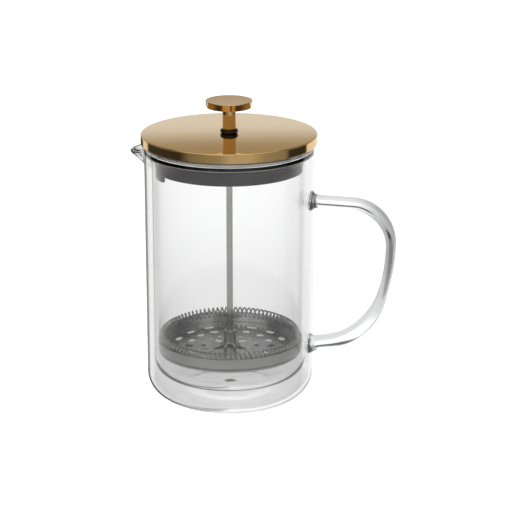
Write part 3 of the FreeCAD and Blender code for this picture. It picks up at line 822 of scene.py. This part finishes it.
def edge_coil():
    """Real coil spring bent round into a ring, 90 turns of thin wire."""
    turns = 90
    steps = 16
    wire = 0.56
    ring = 43.35
    coil = (coil_high.z - coil_low.z) / 2.0 - wire
    middle = (coil_high.z + coil_low.z) / 2.0
    curve = bpy.data.curves.new("edge_coil", "CURVE")
    curve.dimensions = "3D"
    curve.bevel_depth = wire * MM
    curve.bevel_resolution = 2
    total = turns * steps
    line = curve.splines.new("POLY")
    line.points.add(total - 1)
    for index in range(total):
        around = math.tau * index / total
        wind = math.tau * index / steps
        radius = ring + coil * math.cos(wind)
        place = Vector((radius * math.cos(around), radius * math.sin(around),
                        middle + coil * math.sin(wind)))
        line.points[index].co = (*(place * MM), 1.0)
    line.use_cyclic_u = True
    holder = bpy.data.objects.new("edge_coil_curve", curve)
    bpy.context.scene.collection.objects.link(holder)
    graph = bpy.context.evaluated_depsgraph_get()
    data = bpy.data.meshes.new_from_object(holder.evaluated_get(graph), depsgraph=graph)
    bpy.data.objects.remove(holder)
    piece = bpy.data.objects.new("edge_coil", data)
    bpy.context.scene.collection.objects.link(piece)
    data.materials.clear()
    data.materials.append(SPRING_STEEL)
    smooth(piece, 60.0)
    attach(piece, "discs")
    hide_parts("edge_spring")


def mesh_cup():
    """Wire cloth cupped round the outside of the plate."""
    thick = 0.35
    radius = 45.4
    bore = ROD_RADIUS + 0.3
    profile = outline([
        (bore, screen_low.z),
        (radius, screen_low.z, 1.1),
        (radius, screen_high.z),
        (radius - thick, screen_high.z),
        (radius - thick, screen_low.z + thick, 0.8),
        (bore, screen_low.z + thick),
    ], closed=True)
    mesh = turned(profile, closed=True, steps=TURN_STEPS)
    place_piece("mesh_cup", mesh, [MESH_STEEL], "discs", "steel_mesh", "mesh_screen")


def finish_cad_nodes():
    """Give the plain CAD pieces that stay their finishes."""
    finishes = {"vent_plug": SILICONE, "bush_nut": STEEL, "cross_plate": PLATE_STEEL,
                "threaded_stud": STEEL}
    for name, material in finishes.items():
        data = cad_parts[name].data
        data.materials.clear()
        data.materials.append(material)


# ---------------------------------------------------------------- studio


def to_right():
    return Vector((math.cos(CAMERA_TURN), math.sin(CAMERA_TURN), 0.0))


def to_viewer():
    return Vector((math.sin(CAMERA_TURN), -math.cos(CAMERA_TURN), 0.0))


def camera():
    """Long lens from a little above."""
    tilt = 0.30634
    distance = 1.15055
    aim_right, aim_height = 0.015878, 0.09022
    aim = to_right() * aim_right + Vector((0.0, 0.0, aim_height))
    back = to_viewer() * math.cos(tilt) + Vector((0.0, 0.0, math.sin(tilt)))
    data = bpy.data.cameras.new("camera")
    data.sensor_width = 36.0
    data.lens = 129.47
    data.clip_end = 50.0
    view = bpy.data.objects.new("camera", data)
    view.location = aim + back * distance
    view.rotation_euler = back.to_track_quat("Z", "Y").to_euler()
    bpy.context.scene.collection.objects.link(view)
    bpy.context.scene.camera = view


def floor():
    """Pale floor that glows a little, so only a faint shadow shows."""
    material, board = new_material("pale_floor")
    point, _ = board.place()
    paper = board.noise(point, 3.0, 2.0)
    tone = board.mix(paper, (0.80, 0.80, 0.80), (0.82, 0.82, 0.82))
    board.surface(Base_Color=tone, Roughness=0.9, Emission_Color=(1.0, 1.0, 1.0, 1.0),
                  Emission_Strength=0.80, Specular_IOR_Level=0.0)
    floor_radius, floor_height = 12.0, -0.0004
    mesh = bmesh.new()
    bmesh.ops.create_circle(mesh, segments=64, radius=floor_radius, cap_ends=True)
    bmesh.ops.translate(mesh, vec=(0.0, 0.0, floor_height), verts=mesh.verts)
    data = bpy.data.meshes.new("floor")
    mesh.to_mesh(data)
    mesh.free()
    data.materials.append(material)
    plane = bpy.data.objects.new("floor", data)
    bpy.context.scene.collection.objects.link(plane)
    plane.visible_transmission = False
    plane.visible_glossy = False


def tones(board, turn, *marks):
    """Greys round the horizon from (degrees to the right of the viewer, tone) pairs."""
    stops = [(0.5 + bearing / 360.0, (tone, tone, tone)) for bearing, tone in marks]
    return board.add("ShaderNodeValToRGB", {"stops": stops}, [turn])


def mirrored_tones(board, turn, z, sideways, towards):
    """What the glass and the metal mirror: light panels and dark flags."""
    mirrored = tones(board, turn, (-180, 1.0), (-174, 1.0), (-168, 0.05), (-152, 0.05),
                     (-147, 0.9), (-134, 0.9), (-128, 0.05), (-66, 0.04), (-50, 0.22),
                     (-12, 0.34), (2, 0.52), (28, 0.52), (48, 0.34), (78, 0.26), (86, 0.04),
                     (118, 0.04), (124, 0.95), (180, 1.0))
    overhead = tones(board, turn, (-180, 0.06), (-58, 0.05), (-40, 0.12), (-30, 0.62),
                     (4, 0.70), (8, 0.15), (14, 0.15), (18, 0.62), (30, 0.50), (40, 0.08),
                     (180, 0.06))
    behind = (0.0 - towards).between(0.4, 0.8)
    far_glow = board.mix(behind, (0.40, 0.36, 0.27), (0.80, 0.88, 0.98))
    step = z + sideways * 0.01
    lid_glow = board.mix(step.between(0.2335, 0.2445), far_glow, (0.38, 0.33, 0.23))
    mirrored = board.mix(z.between(0.02, 0.10), mirrored, lid_glow)
    mirrored = board.mix(z.between(0.46, 0.56), mirrored, overhead)
    return board.mix(z.between(0.76, 0.86), mirrored, (1.0, 0.99, 0.97))


def straight_tones(board, turn, z):
    """What is seen straight through the glass: white, with dark flags to the sides."""
    seen = tones(board, turn, (-180, 1.0), (-168, 1.0), (-157, 0.5), (-148, 0.1),
                 (-126, 0.1), (-118, 1.0), (41, 1.0), (44, 0.4), (58, 0.4), (61, 1.0),
                 (86, 1.0), (89, 0.4), (105, 0.4), (108, 1.0), (180, 1.0))
    back_only = tones(board, turn, (-180, 1.0), (-166, 1.0), (-158, 0.0), (158, 0.0),
                      (166, 1.0), (180, 1.0))
    horizon = back_only * z.between(0.0, 0.05) * (1.0 - z.between(0.13, 0.22))
    seen = board.mix(horizon, seen, (0.12, 0.12, 0.12))
    seen = board.mix(z.between(-0.40, -0.26), (0.72, 0.72, 0.72), seen)
    return board.mix(seen, (0.0, 0.0, 0.0), (1.16, 1.16, 1.16))


def inner_tones(board, turn, z):
    """What is seen through the glass after a reflection inside it."""
    level = tones(board, turn, (-180, 1.0), (-177, 0.9), (-171, 0.4), (-158, 0.4),
                  (-150, 0.9), (-118, 0.6), (-80, 0.5), (-60, 0.55), (60, 0.55), (80, 0.5),
                  (118, 0.6), (150, 0.9), (180, 1.0))
    raised = tones(board, turn, (-180, 0.34), (-150, 0.22), (-118, 0.05), (-70, 0.05),
                   (-58, 0.8), (-20, 1.0), (4, 0.3), (24, 0.3), (34, 1.0), (62, 0.5),
                   (74, 0.05), (118, 0.05), (150, 0.24), (180, 0.34))
    inner = board.mix(z.between(-0.16, -0.04), level, raised)
    return board.mix(z.between(0.80, 0.92), inner, (0.9, 0.9, 0.9))


def sky():
    """White surroundings; what glass and metal show of them has tones of its own."""
    world = bpy.data.worlds.new("studio")
    bpy.context.scene.world = world
    board = Board(world)
    direction = board.add("ShaderNodeTexCoord", output=0)
    x, y, z = (board.add("ShaderNodeSeparateXYZ", values=[direction], output=i) for i in range(3))
    right, viewer = to_right(), to_viewer()
    sideways = x * right.x + y * right.y
    towards = x * viewer.x + y * viewer.y
    turn = sideways.math("ARCTAN2", sideways, towards) / math.tau + 0.5
    mirrored = mirrored_tones(board, turn, z, sideways, towards)
    straight = straight_tones(board, turn, z)
    inner = inner_tones(board, turn, z)
    refracted = board.add("ShaderNodeLightPath", output="Is Transmission Ray")
    bounced = board.add("ShaderNodeLightPath", output="Glossy Depth")
    camera_ray = board.add("ShaderNodeLightPath", output="Is Camera Ray")
    through = board.mix(bounced.between(0.2, 0.8), straight, inner)
    tone = board.mix(refracted, mirrored, through)
    tone = board.mix(camera_ray, tone, (1.0, 1.0, 1.0))
    light = board.add("ShaderNodeBackground", values={"Color": tone, "Strength": 1.0})
    board.add("ShaderNodeOutputWorld", values={"Surface": light})


def let_light_through():
    """Glass throws no shadow, so the light reaches what is inside."""
    for name in ("glass_vessel", "drawn_handle"):
        bpy.data.objects[name].visible_shadow = False


def light_settings():
    """Plain colour response and enough bounces for four glass walls."""
    scene = bpy.context.scene
    scene.view_settings.view_transform = "Standard"
    scene.cycles.max_bounces = 32
    scene.cycles.transmission_bounces = 32
    scene.cycles.glossy_bounces = 12
    scene.cycles.transparent_max_bounces = 32


glass_vessel()
glass_handle()
lid_cap()
lid_insert()
guide_bush()
knob()
plunger_rod()
rod_hub()
spiral_plate()
edge_coil()
mesh_cup()
finish_cad_nodes()
camera()
floor()
sky()
let_light_through()
light_settings()
